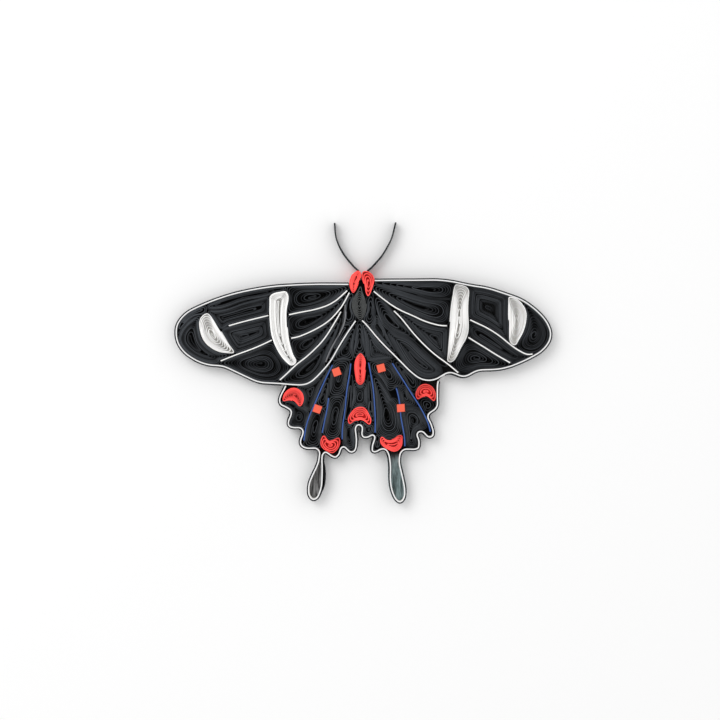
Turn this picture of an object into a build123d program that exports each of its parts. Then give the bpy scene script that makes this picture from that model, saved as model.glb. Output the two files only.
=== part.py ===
"""A quilled paper butterfly: rolls of paper strip, pinched to the shape of wing cells, on a cut ground."""

import os
from itertools import product
from math import pi

import numpy as np
from build123d import *

# Driving dimensions, in millimetres. The body lies along Y, head to +Y, and the paper ground lies on Z = 0.
strip_height = 3.0  # width of the quilling strip, which stands on its edge
ground_thickness = 0.25
coil_paper = 0.14  # paper of the rolls
turn_gap = 0.07  # usual air between two turns of a roll where it is tight
least_air = 0.02  # the same in the heart of a roll
roll_gap = 0.09  # from a roll to whatever stands beside it
white_edge_thickness = 0.28
black_edge_thickness = 0.28
white_vein_thickness = 0.27
blue_vein_thickness = 0.27
dark_vein_thickness = 0.18
leaning_strip_thickness = 0.30
antenna_thickness = 0.34
glue_line = 0.04  # between two strips that are glued side by side
core_area = 0.15  # least area inside a roll's innermost turn
kink_spread = 0.09  # the same for the small kinks that are left
tip_radius = 0.13  # tightest bend of a roll's paper
turn_spreads = (0.9, 0.5, 0.25)  # how far along a turn its bends may be eased; the fullest roll stays
rim_spread = 0.4  # the same for a roll's last turn, in the corners of its cell
square_thickness = 0.25
ground_lip = 0.08  # of the ground, beyond the strips around it
nook_width = 0.2  # narrower nooks of a cell stay empty
neck_width = 0.06  # narrower necks close between two turns
square_side = 1.85

# How closely the curves are followed
arc_misfit = 0.01  # farthest that an arc of a strip lies from its line
arc_bend = 1.6  # radians that one arc of a strip turns at most
straight_bow = 0.0005  # a run of points that bows out less is drawn straight
sample_step = 0.12  # distance between the points that a strip's middle line is read at
ring_step = 0.06  # the same for a turn of a roll
step_shares = (0, 0.25, 0.5, 0.75)  # places on a rim where turns may step out; the first that works is used
turn_smoothings = 6  # times that each point of a roll's line is drawn towards its neighbours
edge_smoothings = 2  # the same for a black edge
fewest_points = 24  # around the smallest turn
least_points = 13  # of a turn that has room inside the last one
jog_share = 0.16  # share of a turn in which the strip steps out to the next turn
heart_points = 900  # of a roll's line, in its first few turns
start_points = 6  # fewest of a strip's start inside its first turn
start_air = 0.06  # from that start to the turn around it
start_smoothings = 8  # of that start, on top of the roll's own
tightest_bend = 0.1  # of a strip's middle line
touching = 0.145  # nearer than this, two turns are taken to touch
least_lobe = 1.0  # shortest part of a turn that a neck or nook cuts off

# Edges of the wings: the middle line of each white strip, X to the right and Y to the head
left_forewing_rim = [
    (-3.7, 18.9), (-10, 18.85), (-16, 18.75), (-20, 18.55), (-24, 18.05), (-29.4, 17.05), (-35, 15.45),
    (-40, 13.4), (-42.2, 12.2), (-44, 10.5), (-44.9, 8.8), (-45.05, 7), (-44.7, 5), (-43.5, 3),
    (-41.5, 1.35), (-38.5, 0), (-36, -0.5), (-34.2, -0.7), (-31.4, -1.8), (-28, -3.4), (-25.5, -4.45),
    (-22.8, -4.8), (-20, -4.95), (-18.4, -5.1),
]
left_forewing_root = [
    (-17, -5.2), (-15, -5.2), (-13.6, -4.9), (-12.2, -4.05), (-10, -1.9), (-8.4, -0.05), (-6.1, 3.75),
    (-4.1, 7.05), (-2.05, 10.1),
]
right_forewing_rim = [
    (2.6, 19.75), (8, 19.85), (14, 19.9), (19, 19.8), (22, 19.4), (24.2, 18.95), (26.6, 18.5), (29, 18.1),
    (31.6, 17.4), (34.1, 16.6), (37.9, 15.1), (39.9, 13.8), (41.55, 12.45), (43.2, 10.7), (44.2, 9.05),
    (44.7, 7.4), (44.55, 5.75), (43.9, 4.4), (42.55, 2.9), (41.05, 1.9), (38, 0.35), (35, -0.85),
    (32.4, -1.4), (29.5, -1.55), (27.6, -1.7), (26, -2.35), (24.6, -3.05), (23.6, -3.15), (22.3, -2.75),
    (20.8, -2.3), (19.4, -2.65),
]
right_forewing_root = [
    (17.6, -3.7), (15.9, -4.1), (14.3, -3.95), (12, -2.7), (9, 0.1), (7, 2.1), (5, 4.15), (3, 6.4),
    (1.3, 8.4), (-0.45, 10.2),
]
hindwing_rim = [
    (-18.8, -5.55), (-19.5, -6.9), (-20.1, -8.1), (-20.3, -9.1), (-20, -9.9), (-19.2, -10.35),
    (-18.3, -10.8), (-17.6, -11.4), (-17.5, -12.2), (-17.8, -13.1), (-18.15, -14.2), (-18, -14.95),
    (-17.3, -15.35), (-16.3, -15.45), (-15.2, -15.6), (-14.65, -16.2), (-14.7, -17.2), (-15.1, -18.3),
    (-15.2, -19.2), (-14.8, -19.95), (-13.9, -20.4), (-12.5, -20.45), (-11.4, -20.55), (-10.75, -21.2),
    (-10.7, -22.4), (-10.9, -23.7), (-11.6, -25.5), (-12.4, -27.2), (-13, -28.7), (-13.25, -30.1),
    (-13.2, -31.3), (-12.8, -32.25), (-12.1, -32.7), (-11.35, -32.4), (-10.75, -31.4), (-10.3, -30),
    (-10.1, -28.5), (-10.05, -26.5), (-10.05, -24.5), (-10.05, -22.6), (-9.7, -21.7), (-9.15, -21.45),
    (-8.4, -21.85), (-7.6, -22.4), (-6.95, -22.6), (-6.3, -22.2), (-5.8, -21.1), (-5.4, -20.3),
    (-4.95, -20.1), (-4, -20.75), (-3.1, -21.3), (-2.45, -21.1), (-2, -20.2), (-1.85, -18.8), (-1.95, -17),
    (-2.05, -15.9), (-1.8, -15.15), (-1.15, -14.85), (-0.55, -15.2), (-0.4, -16.1), (-0.5, -17),
    (-0.25, -17.65), (0.45, -17.85), (1.35, -17.55), (2.05, -17.3), (2.5, -17.6), (2.5, -18.3),
    (2.1, -19.5), (1.95, -20.5), (2.1, -21.2), (2.65, -21.3), (3.65, -20.85), (4.7, -20.6), (5.45, -21.05),
    (5.95, -22.1), (6.25, -23.8), (6.35, -25.8), (6.35, -27.8), (6.55, -29.7), (7.05, -31.5),
    (7.8, -32.85), (8.6, -33.35), (9.3, -32.9), (9.75, -31.7), (9.75, -30.2), (9.4, -28.2), (8.85, -25.8),
    (8.5, -24.2), (8.5, -22.7), (8.85, -21.5), (9.6, -20.85), (10.7, -20.7), (12.2, -20.7), (12.95, -20.4),
    (13.2, -19.5), (13.05, -18.2), (12.75, -17.3), (13, -16.65), (13.9, -16.45), (14.7, -17),
    (15.6, -17.7), (16.3, -17.5), (16.6, -16.7), (16.35, -15.5), (15.85, -14.2), (15.35, -13.2),
    (15.35, -12.5), (15.95, -11.8), (16.9, -11.15), (17.45, -10.4), (17.6, -8.8), (17.6, -6.6),
    (17.7, -5), (17.85, -4.35),
]
body_line = [(-0.9, 10.1), (-0.9, 20)]

# Veins: strips on edge that part the wing cells
left_white_veins = [
    [(-18.0, 11.6), (-15.05, 12.2), (-12.4, 12.7), (-10, 13.35), (-8.25, 14.1), (-6.6, 15.1),
     (-5.3, 16.2), (-4, 17.4)],
    [(-22.95, 11.45), (-26.1, 10.7), (-29.4, 9.8), (-32.5, 8.9)],
    [(-17.5, 5.95), (-16.05, 6.25), (-14.05, 7), (-12.05, 7.9), (-10, 9.05), (-8.4, 10.2), (-6.75, 11.9),
     (-5.4, 13.55), (-4.4, 15.2), (-3.5, 16.9)],
    [(-22.1, 5.5), (-24.45, 4.4), (-27.75, 3.1), (-31.1, 1.85), (-34.4, 0.5)],
    [(-5.6, 12.3), (-6.4, 10.9), (-7.75, 8.55), (-10, 5.25), (-12.05, 3.1), (-14.05, 1.25), (-16.05, -0.25),
     (-18, -2.05), (-20.2, -4.1)],
]
right_white_veins = [
    [(2.35, 17.2), (3.8, 16), (5.95, 14.35), (7.95, 13.1), (10, 12.1), (12.1, 11.2), (14.25, 10.2),
     (16.25, 9.55), (17.9, 9.15), (19.9, 9)],
    [(25.5, 10.35), (26.6, 9.8), (28.95, 8.7), (31.6, 7.15), (34.1, 5.25), (36.25, 3.6), (37.6, 2.75),
     (38.75, 2.2), (40.4, 2.15)],
    [(7.2, 12.5), (8.8, 10.9), (10.6, 8.7), (12.4, 6.55), (14.25, 4.6), (16.25, 2.75), (18.25, 1.2),
     (20.4, -0.4), (21.9, -1.7), (22.6, -2.3)],
    [(25.1, 6.1), (26.6, 5.15), (28.95, 3.75), (31.6, 2.1), (33.6, 0.95), (35.1, 0.05)],
]
left_blue_veins = [
    [(-7.55, -0.5), (-9.3, -4), (-10.5, -6.6), (-11.6, -9.2), (-12.8, -11.95), (-13.5, -13.9),
     (-13.95, -15.6), (-14.2, -17.2), (-14.4, -18.6)],
    [(-8.5, -8.4), (-8.9, -11.2), (-9.35, -13.5), (-9.8, -15.8), (-10, -16.8)],
    [(-3.2, -0.2), (-3.6, -3.4), (-4.1, -6.6), (-4.55, -11.2), (-5, -14.55), (-5.2, -17), (-5.2, -18.3)],
]
right_blue_veins = [
    [(1.1, 0.1), (1.65, -2.8), (2.2, -6), (2.5, -9.65), (2.65, -12.7), (2.62, -16.7)],
    [(7.7, -6), (8.25, -8.1), (8.5, -9.35), (8.85, -12.7), (9.25, -15), (9.65, -17.3), (9.8, -20)],
    [(6.75, -0.05), (8.2, -2.3), (9.8, -4.75), (11.3, -7.2), (12.7, -9.35), (14, -11.6), (15, -13.6),
     (15.7, -15.5), (15.9, -16.4)],
]
thin_dark_vein = [(3, -2.9), (4.9, -5.4), (6.5, -8.2)]
leaning_strip = [(-4.62, 14), (-4.9, 12.4), (-5.3, 10.7), (-6.4, 6.7), (-7.4, 4.4), (-9.2, 0.2)]
left_antenna = [
    (-1.25, 22.17), (-1.8, 22.6), (-3.2, 24.05), (-4.65, 25.8), (-5.9, 27.95), (-6.7, 30.1), (-6.95, 31.9),
    (-7.05, 33.7),
]
right_antenna = [
    (0.8, 22.13), (1.5, 22.65), (2.85, 24.05), (4.3, 25.75), (5.55, 27.8), (6.6, 29.95), (7.15, 31.9),
    (7.6, 33.75),
]

# Rolls with an outline of their own
white_rolls = {
    "left_white_band": [
        (-22.2, 16.4), (-21.3, 16.85), (-20, 17.1), (-18.7, 17.1), (-18.4, 16.7), (-18.5, 13.35),
        (-18.5, 10.7), (-18.3, 8.05), (-18, 5.4), (-17.4, 3.1), (-16.7, 1.4), (-16.25, 0.4),
        (-16.75, -0.35), (-17.4, -0.55), (-18.5, 0.1), (-19.85, 1.6), (-20.9, 3.4), (-21.65, 5.1),
        (-22.2, 7.05), (-22.5, 9.7), (-22.65, 12.5), (-22.6, 14.7),
    ],
    "left_white_crescent": [
        (-37.7, 11.9), (-38.7, 11.4), (-39.4, 10.2), (-39.45, 8.7), (-39.1, 7.05), (-38.4, 5.4),
        (-37.2, 4.1), (-35.7, 3.1), (-34.4, 2.6), (-32.7, 2.4), (-31.3, 2.5), (-32.2, 4.1),
        (-33.2, 5.75), (-34.4, 7.7), (-35.7, 9.7), (-36.9, 11.4),
    ],
    "right_white_band": [
        (22.2, 18.85), (23.3, 18.75), (24.3, 18.45), (24.95, 17.9), (25.1, 15.85), (25.1, 10.05),
        (24.95, 7.05), (24.3, 5.4), (23.3, 3.75), (22.3, 1.75), (21.65, 0.75), (21, 0.3), (20.2, 0.4),
        (20.05, 1.3), (20.25, 4.1), (20.4, 8.05), (20.7, 11.7), (20.95, 14.2), (21.4, 16.7),
        (21.75, 18.3),
    ],
    "right_white_crescent": [
        (35, 15.9), (35.9, 15.7), (37.1, 15.1), (37.9, 14.3), (38.6, 13.25), (39, 12.05), (39, 10.4),
        (38.6, 8.4), (37.9, 6.7), (37.1, 5.4), (36.2, 4.3), (35.2, 4.95), (34.85, 6.4), (34.7, 10.7),
        (34.7, 13.35), (34.75, 15.2),
    ],
}
red_rolls = {
    "left_head_roll": [
        (-2, 21.9), (-1.1, 22), (-0.7, 21.35), (-0.9, 20.1), (-1.4, 18.85), (-2.05, 17.4), (-2.6, 16.9),
        (-3.1, 17.6), (-3.4, 18.6), (-3.4, 19.9), (-2.85, 21.2),
    ],
    "right_head_roll": [
        (0, 22), (1.05, 21.9), (1.95, 21.2), (2.45, 20.2), (2.35, 19.2), (1.95, 17.95), (1.45, 16.7),
        (1, 16.1), (0.45, 17.05), (0, 18.85), (-0.45, 20.45), (-0.4, 21.5),
    ],
    "red_oval": [
        (-1, 2.2), (-2, 0.8), (-2.3, -1.2), (-2.05, -3.4), (-1.6, -4.8), (-0.95, -5.2), (-0.3, -4.8),
        (0.2, -3.15), (0.45, -1.05), (0.3, 0.7), (-0.1, 1.6),
    ],
    "centre_red_crescent": [
        (-3.55, -14.5), (-3.75, -13.35), (-3.1, -11.95), (-2.3, -11.05), (-1.25, -10.6), (-0.15, -10.65),
        (0.75, -11.5), (1.35, -12.7), (1.65, -13.95), (1.3, -14.7), (0.45, -14.3), (-0.3, -13.9),
        (-1.4, -13.8), (-2.45, -14),
    ],
    "left_outer_red_crescent": [
        (-19.55, -8.9), (-19.1, -7.35), (-18.2, -6.45), (-16.8, -6), (-15.55, -6.45), (-14.8, -7.35),
        (-14.55, -8.6), (-14.95, -9.95), (-15.4, -10.35), (-16.2, -9.8), (-17.1, -9.2), (-18.2, -8.95),
    ],
    "right_outer_red_crescent": [
        (12.75, -8.6), (12.45, -7.6), (12.9, -6.2), (13.75, -5.3), (14.85, -5.05), (16.05, -5.5),
        (16.9, -6.6), (17.15, -8.1), (16.75, -9.1), (16.05, -8.75), (15.15, -8.2), (14.2, -8.1),
        (13.4, -8.5),
    ],
    "left_lower_red_crescent": [
        (-9.8, -17.5), (-10.3, -18.55), (-10.3, -19.75), (-9.7, -20.6), (-8.7, -21.2), (-7.6, -21.6),
        (-6.75, -21.1), (-6.1, -20.2), (-5.75, -19), (-6, -17.95), (-7, -18.25), (-7.9, -18.55),
        (-8.7, -18.25), (-9.2, -17.6),
    ],
    "right_lower_red_crescent": [
        (4.05, -17.9), (3.9, -18.85), (4.6, -20), (5.8, -20.7), (7, -21.2), (8.2, -20.9), (9.05, -19.9),
        (9.25, -18.55), (9, -17.4), (8.25, -17.45), (7.35, -18.1), (6.25, -18.4), (5.2, -18.25),
    ],
}
thorax_roll = [
    (-0.9, 19.4), (-1.5, 17.3), (-2.3, 16), (-2.85, 14.6), (-2.75, 13), (-2.3, 11.8), (-1.6, 10.8),
    (-0.95, 10.35), (-0.25, 10.9), (0.4, 12.3), (0.6, 13.6), (0.5, 15.2), (0, 16.2), (-0.45, 17.3),
]

# Where two black rolls meet with no vein between them
left_forewing_seams = [
    [(-22.5, 16.3), (-25.4, 15.5), (-29.8, 14.4), (-33, 13.2), (-36, 12.7), (-37.4, 12.6), (-37.9, 11.9)],
    [(-38.7, 11.4), (-40, 11.3), (-42, 10), (-43.6, 8.4), (-44.5, 6.6), (-44.9, 5.6)],
    [(-37.9, 14.4), (-37.6, 12.4)],
    [(-18.5, 18.7), (-18.8, 17)],
    [(-32.3, 8.95), (-34.4, 7.9)],
    [(-31.3, 2.7), (-31.2, 1.7)],
    [(-34.3, 0.5), (-35.2, -0.7)],
    [(-4, 17.4), (-2.9, 17.6)],
    [(-4, 17.4), (-3.4, 16.9)],
    [(-3.5, 16.9), (-2.5, 17)],
    [(-16.75, -0.4), (-17, -1.2)],
    [(-9.1, 0.4), (-9.6, -1.5)],
    [(-5.6, 9.1), (-2.4, 9.4)],
    [(-23.2, 11.4), (-22.5, 11.6)],
    [(-22.4, 5.4), (-21.5, 5.7)],
    [(-17.8, 11.6), (-18.7, 11.5)],
    [(-17.3, 5.95), (-18.2, 5.8)],
    [(-2.6, 17.1), (-2.4, 15.9)],
    [(-1.6, 10.9), (-1.9, 10.1)],
    [(-4.62, 13.9), (-5.0, 14.4)],
    [(-20.1, -4.0), (-20.4, -5)],
    [(-5.6, 12.3), (-6.1, 12.7)],
]
right_forewing_seams = [
    [(2.3, 18.9), (2.7, 18.85), (6, 18.15), (10, 17.15), (13, 16.4), (15.3, 15.65), (18, 15.4),
     (21.2, 15.35)],
    [(7.2, 12.5), (7.5, 13.4)],
    [(7.25, 12.45), (7.75, 11.5), (9, 9.85)],
    [(5.2, 14.6), (7.25, 12.45)],
    [(2.3, 17.2), (2.35, 15.5), (2.75, 13), (3.4, 11.3), (5.2, 8.3), (8.5, 6.8), (10.3, 6.2), (12.9, 4.4),
     (15, 2.4), (17.2, 0.6), (19.3, -0.9), (20.6, -0.7)],
    [(2.8, 13), (2.65, 11), (1.9, 9.3), (1.1, 8.5)],
    [(5.2, 8.3), (5.7, 6.9), (6.9, 4.5), (8.3, 1.9), (10.1, -0.9)],
    [(35, 0.05), (35.7, -0.7)],
    [(40.2, 2.15), (41.1, 1.9)],
    [(23.3, 18.7), (23.3, 19.2)],
    [(22.5, -2.2), (23.1, -3)],
    [(34.8, 15.8), (34.6, 16.5)],
    [(36.2, 4.4), (36.2, 3.5)],
    [(2.3, 17.2), (1.6, 17.3)],
    [(19.7, 9), (20.6, 9)],
    [(25, 10.5), (25.7, 10.2)],
    [(24.6, 6.3), (25.3, 6)],
    [(20.3, 0.6), (19.9, -0.2)],
    [(18.8, -0.8), (19.1, -2.8)],
    [(1.1, 16.3), (0.2, 15.7)],
    [(-0.3, 10.9), (0.1, 9.7)],
]
hindwing_seams = [
    [(-8.5, -0.4), (-6.5, 0.6), (-4.5, 0.8), (-2.5, 0.3)],
    [(-1.6, 10.6), (-2, 7.5), (-2.4, 5), (-2.55, 2.5), (-2.6, 0.5), (-2.65, -3.5), (-2.75, -6),
     (-2.9, -9), (-2.95, -11.7)],
    [(-0.7, 10.6), (0, 7.5), (0.4, 5), (0.55, 2.5), (0.7, 0.5), (0.8, -3.5), (0.85, -6), (0.9, -9),
     (0.75, -11.4)],
    [(-2.2, -1.2), (-2.65, -1.2)],
    [(0.4, -1.2), (0.8, -1.2)],
    [(-7.55, -0.6), (-7.6, 0.2)],
    [(-7.9, -1.2), (-8.3, -5), (-8.5, -8.6)],
    [(-15.2, -10.2), (-12.8, -12)],
    [(-16.8, -6.1), (-17, -5.2)],
    [(-19.4, -8.8), (-20.4, -9.2)],
    [(-14.2, -16.9), (-14.8, -16.8)],
    [(-12, -10.3), (-8.8, -11.3)],
    [(-10, -16.8), (-9.8, -17.8)],
    [(-8.5, -8.2), (-4.3, -7.6)],
    [(-3.2, -0.3), (-3.1, 0.5)],
    [(-3.6, -13.9), (-5, -13.9)],
    [(-5.2, -18.2), (-5.9, -19)],
    [(-5.2, -18.2), (-5.2, -20.3)],
    [(-1.15, -13.7), (-1.15, -14.9)],
    [(-14.4, -18.5), (-14.8, -20)],
    [(-10.2, -19.5), (-10.7, -21.4)],
    [(0.6, 0.6), (1.2, 0.45), (3.5, 0.6), (6, 0.9), (8.1, 1.1)],
    [(6.75, -0.1), (6.9, 1.1)],
    [(13.5, -5.4), (13.8, -3.9)],
    [(12.8, -8.4), (12, -8.4)],
    [(16.6, -9), (17.7, -9.3)],
    [(8.5, -10.5), (13.4, -10.5)],
    [(7.8, -6), (10, -5)],
    [(1.7, -2.2), (3.1, -3)],
    [(6.4, -8.1), (8.4, -8.7)],
    [(1.5, -14.2), (2.7, -14.2)],
    [(4.1, -17.9), (2.6, -16.8)],
    [(2.62, -16.6), (2.3, -17.5)],
    [(9.8, -19.9), (9.7, -20.9)],
    [(15.8, -16.2), (16.5, -17.1)],
    [(14.1, -16.6), (15.7, -15.2)],
    [(5.8, -7), (7.8, -6.1)],
    [(14.7, -12.8), (15.6, -13.2)],
    [(9.1, -18.6), (9.8, -18.6)],
    [(4.7, -19.9), (4.9, -20.8)],
]

# Hearts of the black rolls, where the strip starts to wind
left_forewing_hearts = {
    "left_leading_roll": (-29.6, 15.75),
    "left_rim_roll": (-41.6, 11.6),
    "left_tip_roll": (-41.4, 4.9),
    "left_upper_cell_roll": (-28.9, 12.2),
    "left_middle_cell_roll": (-27.8, 6.9),
    "left_lower_cell_roll": (-25, 0.2),
    "left_shoulder_roll": (-12.9, 15.7),
    "left_second_roll": (-12.9, 10.05),
    "left_third_roll": (-13.5, 4.8),
    "left_fourth_roll": (-12.2, -0.5),
    "left_root_roll": (-6.6, 4.4),
    "left_thorax_side_roll": (-3.75, 12.2),
}
right_forewing_hearts = {
    "right_shoulder_roll": (15.6, 17.7),
    "right_second_roll": (13.4, 13.1),
    "right_third_roll": (17.1, 6.1),
    "right_long_roll": (8.4, 9),
    "right_fourth_roll": (13.2, 0.4),
    "right_root_roll": (4.6, 6.4),
    "right_thorax_side_roll": (1.6, 12.4),
    "right_upper_cell_roll": (30.3, 13.2),
    "right_middle_cell_roll": (31.6, 4.9),
    "right_lower_cell_roll": (26.2, 1.7),
    "right_tip_roll": (41.4, 8),
}
hindwing_hearts = {
    "left_hindwing_outer_rolls": [(-12.3, -6.2), (-16, -12.5)],
    "left_hindwing_middle_rolls": [(-9.9, -6.6), (-12, -15.3)],
    "left_hindwing_inner_rolls": [(-4.1, 3), (-6.2, -4), (-7, -13), (-3.4, -7.5), (-3.5, -17.2)],
    "right_hindwing_outer_rolls": [(11, -4.3), (15.1, -10.3)],
    "right_hindwing_middle_rolls": [(10.2, -8), (12.1, -14), (5.5, -2.9)],
    "right_hindwing_inner_rolls": [(2.4, 3.6), (5.7, -13), (1.45, -6), (1.4, -16), (3.3, -19.3)],
    "upper_abdomen_roll": [(-1, 5.2)],
    "lower_abdomen_roll": [(-1, -7.8)],
}

# Small paper squares laid flat on the veins: middle and turn
squares = [((-6.55, -2.15), 20), ((4.1, -1.2), 16), ((-11.2, -11.05), -20), ((8.85, -10.8), 4)]

strips_base = Plane.XY.offset(ground_thickness)
cell_reach = coil_paper / 2 + roll_gap + tip_radius  # from a piece to where a roll's tips turn about
seam_width = coil_paper + roll_gap + 2 * tip_radius
os.makedirs("parts", exist_ok=True)


def close_points(points, closed=False):
    """Reads a smooth line through a few points at many close places, anticlockwise where it is closed."""
    line = Edge.make_spline([Vector(*p) for p in points], periodic=closed)
    count = round(line.length / sample_step)
    places = line.positions([k / count for k in range(count if closed else count + 1)])
    close = np.array([complex(place.X, place.Y) for place in places])
    if closed and area(close) < 0:
        close = close[::-1]
    return close


def smoothed(line, step, times):
    """Reads an open line again at even steps, and evens out its kinks."""
    lengths = np.concatenate(([0], np.cumsum(abs(np.diff(line)))))
    line = np.interp(np.linspace(0, lengths[-1], round(lengths[-1] / step)), lengths, line)
    for _ in range(times):
        line[1:-1] = (line[:-2] + 2 * line[1:-1] + line[2:]) / 4
    return line


def leftward(line):
    """Unit directions to the left of each point of an open line."""
    ahead = np.gradient(line)
    return 1j * ahead / abs(ahead)


def inward(loop):
    """Unit directions from each point of an anticlockwise closed line into it."""
    ahead = np.roll(loop, -1) - np.roll(loop, 1)
    return 1j * ahead / np.maximum(abs(ahead), straight_bow)


def evened(loop):
    """Reads a closed line again, at even distances around it."""
    closed = np.append(loop, loop[0])
    lengths = np.concatenate(([0], np.cumsum(abs(np.diff(closed)))))
    count = max(fewest_points, round(lengths[-1] / ring_step))
    return np.interp(np.arange(count) / count * lengths[-1], lengths, closed)


def softened(loop, spread):
    """Smooths an even closed line, each of its points drawn towards those up to a spread beside it."""
    waves = np.fft.fftfreq(len(loop), abs(loop[1] - loop[0]))
    return np.fft.ifft(np.fft.fft(loop) * np.exp(-2 * (pi * waves * spread) ** 2))


def eased(loop, spread):
    """Eases the bends of a closed line that bulge out, and leaves those that bulge in."""
    soft = softened(loop, spread)
    gain = ((soft - loop) * inward(loop).conj()).real
    return evened(softened(evened(np.where(gain > 0, soft, loop)), kink_spread))


def area(loop):
    return (loop.conj() * np.roll(loop, -1)).imag.sum() / 2


def held_off(points, line, distance):
    """Moves the points that lie nearer to a line than a distance away from it."""
    nearest = line[abs(points[:, None] - line[None, :]).argmin(axis=1)]
    away = points - nearest
    return nearest + away / abs(away) * np.maximum(abs(away), distance)


def moved_in(loop, depth):
    """A closed line moved in by a depth, or out by a negative one, less what would cross itself."""
    moved = loop + depth * inward(loop)
    nearest = abs(moved[:, None] - loop[None, :]).argmin(axis=1)
    away = moved - loop[nearest]
    on_its_side = (away * inward(loop)[nearest].conj()).real * depth > 0
    moved = moved[(abs(away) > 0.97 * abs(depth)) & on_its_side]
    return held_off(evened(moved), loop, abs(depth)) if len(moved) > least_points else None


def open_part(loop, width):
    """The larger part of a closed line, cut off wherever its sides come nearer than a width."""
    while area(loop) > width**2:
        starts, ends = np.nonzero(np.triu(abs(loop[:, None] - loop[None, :]) < width))
        counts = ends - starts
        cut = np.minimum(counts, len(loop) - counts).argmax()
        if min(counts[cut], len(loop) - counts[cut]) * ring_step < least_lobe:
            break
        turned = np.roll(loop, -starts[cut])
        loop = evened(max(turned[: counts[cut]], turned[counts[cut] :], key=area))
    return loop


def set_in(loop, depth):
    """Moves a closed line in by a depth, with no tip tighter than the tip radius."""
    inner = moved_in(loop, depth + tip_radius)
    return None if inner is None else moved_in(open_part(evened(inner), neck_width), -tip_radius)


def stepped_out(inner, outer):
    """One turn, which leaves a closed line where it starts and joins the next one around it."""
    gaps = abs(outer[:, None] - inner[None, :])
    outer_at = np.concatenate((np.arange(len(outer)), gaps.argmin(axis=0)))
    inner_at = np.concatenate((gaps.argmin(axis=1), np.arange(len(inner))))
    in_step = abs(inner_at / len(inner) - outer_at / len(outer)) < 0.5
    order = np.argsort((inner_at / len(inner) + outer_at / len(outer))[in_step], kind="stable")
    outer_at = np.maximum.accumulate(outer_at[in_step][order])
    inner_at = np.maximum.accumulate(inner_at[in_step][order])
    jog = (1 - np.cos(pi * np.minimum(1, outer_at / len(outer) / jog_share))) / 2
    return inner[inner_at] * (1 - jog) + outer[outer_at] * jog


def start_inside(ring):
    """A ring's last part, after a start of the strip that runs along its middle and turns at an end."""
    gaps = abs(ring[:, None] - ring[None, :])
    first, second = sorted(np.unravel_index(gaps.argmax(), gaps.shape))
    sides = (ring[first : second + 1], np.concatenate((ring[second:], ring[: first + 1]))[::-1])
    even = np.linspace(0, 1, max(len(side) for side in sides))
    middle = sum(np.interp(even, np.linspace(0, 1, len(side)), side) for side in sides) / 2
    turn, run = (first, middle[::-1]) if first > jog_share * len(ring) else (second, middle)
    roomy = np.nonzero(abs(run[:, None] - ring[None, :]).min(axis=1) > coil_paper + start_air)[0]
    if len(roomy) < start_points:
        return None
    run = run[max(np.split(roomy, np.nonzero(np.diff(roomy) > 1)[0] + 1), key=len)]
    joint = turn + 2 + abs(ring[turn : turn + len(ring) // 3] - run[-1]).argmin()
    if len(run) < start_points or not 0.25 < joint / len(ring) < 0.8:
        return None
    return smoothed(np.concatenate((run, ring[joint:])), ring_step, start_smoothings)


def wound(rings, start):
    """Winds out from a start on the last of some nested closed lines to the first."""
    turns = [stepped_out(inner, outer) for inner, outer in zip(rings[:0:-1], rings[-2::-1])]
    return smoothed(np.concatenate([start, *turns]), ring_step, turn_smoothings)


def tightest(line, points=heart_points):
    """How near some points at the start of a line come to the turns after them."""
    start, rest = line[:points], line[: 2 * points]
    along = (np.arange(len(rest))[None, :] - np.arange(len(start))[:, None]) * ring_step
    return abs(start[:, None] - rest[None, :])[along > least_lobe / 2].min()


def untouched(line):
    """Whether no turn of a line touches another."""
    blocks = range(0, len(line) - fewest_points, heart_points)
    return all(tightest(line[start:], heart_points) > touching for start in blocks)


def least_radius(line):
    """The radius of a line's sharpest bend."""
    back, ahead, across = line[2:-2] - line[:-4], line[4:] - line[2:-2], line[4:] - line[:-4]
    bend = np.maximum(2 * abs((back.conj() * across).imag), straight_bow**3)
    return (abs(back) * abs(ahead) * abs(across) / bend).min()


def nested(rim, spread):
    """Closed lines set into a rim one after another, each with its bends eased by a spread."""
    rings = [rim]
    smaller = set_in(rim, coil_paper + turn_gap)
    while smaller is not None and area(smaller) > core_area:
        smaller = set_in(eased(smaller, spread), 0)
        if smaller is None or area(smaller) < core_area:
            break
        smaller = held_off(evened(smaller), rings[-1], coil_paper + turn_gap)
        rings.append(np.roll(smaller, -np.argmin(abs(smaller - rings[-1][0]))))
        smaller = set_in(smaller, coil_paper + turn_gap)
    return rings


def winding(rim):
    """The middle line of the strip that fills a rim best, where every turn steps out to the next one."""
    fullest, least_heart = None, area(rim)
    nearest = np.argmin(abs(rim - rim.mean()))
    for share, spread in product(step_shares, turn_spreads):
        if share and spread == turn_spreads[0] and fullest is not None:
            break
        rings = nested(np.roll(rim, -nearest - round(share * len(rim))), spread)
        line = wound(rings, rings[-1][round(2.5 * jog_share * len(rings[-1])) :])
        while len(rings) > 2 and tightest(line) < coil_paper + least_air:
            rings.pop()
            line = wound(rings, rings[-1][round(2.5 * jog_share * len(rings[-1])) :])
        heart = area(rings[-1])
        start = start_inside(rings[-1])
        if start is not None:
            fuller = wound(rings, start)
            if tightest(fuller) > coil_paper + least_air and least_radius(fuller) > tightest_bend:
                line, heart = fuller, heart / 2
        if heart < least_heart and untouched(line) and least_radius(line) > tightest_bend:
            fullest, least_heart = line, heart
    return fullest


def misfit(points):
    """How far a run of points lies from the arc through its first, middle and last one."""
    middle, end = points[len(points) // 2] - points[0], points[-1] - points[0]
    bow = (middle.conj() * end).imag / abs(end)
    if abs(bow) < straight_bow:
        return abs(((points - points[0]) * end.conj()).imag).max() / abs(end)
    across = abs(middle) ** 2 * end - abs(end) ** 2 * middle
    centre = points[0] - 0.5j * across / (middle.conj() * end).imag
    return abs(abs(points - centre) - abs(points[0] - centre)).max()


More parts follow.
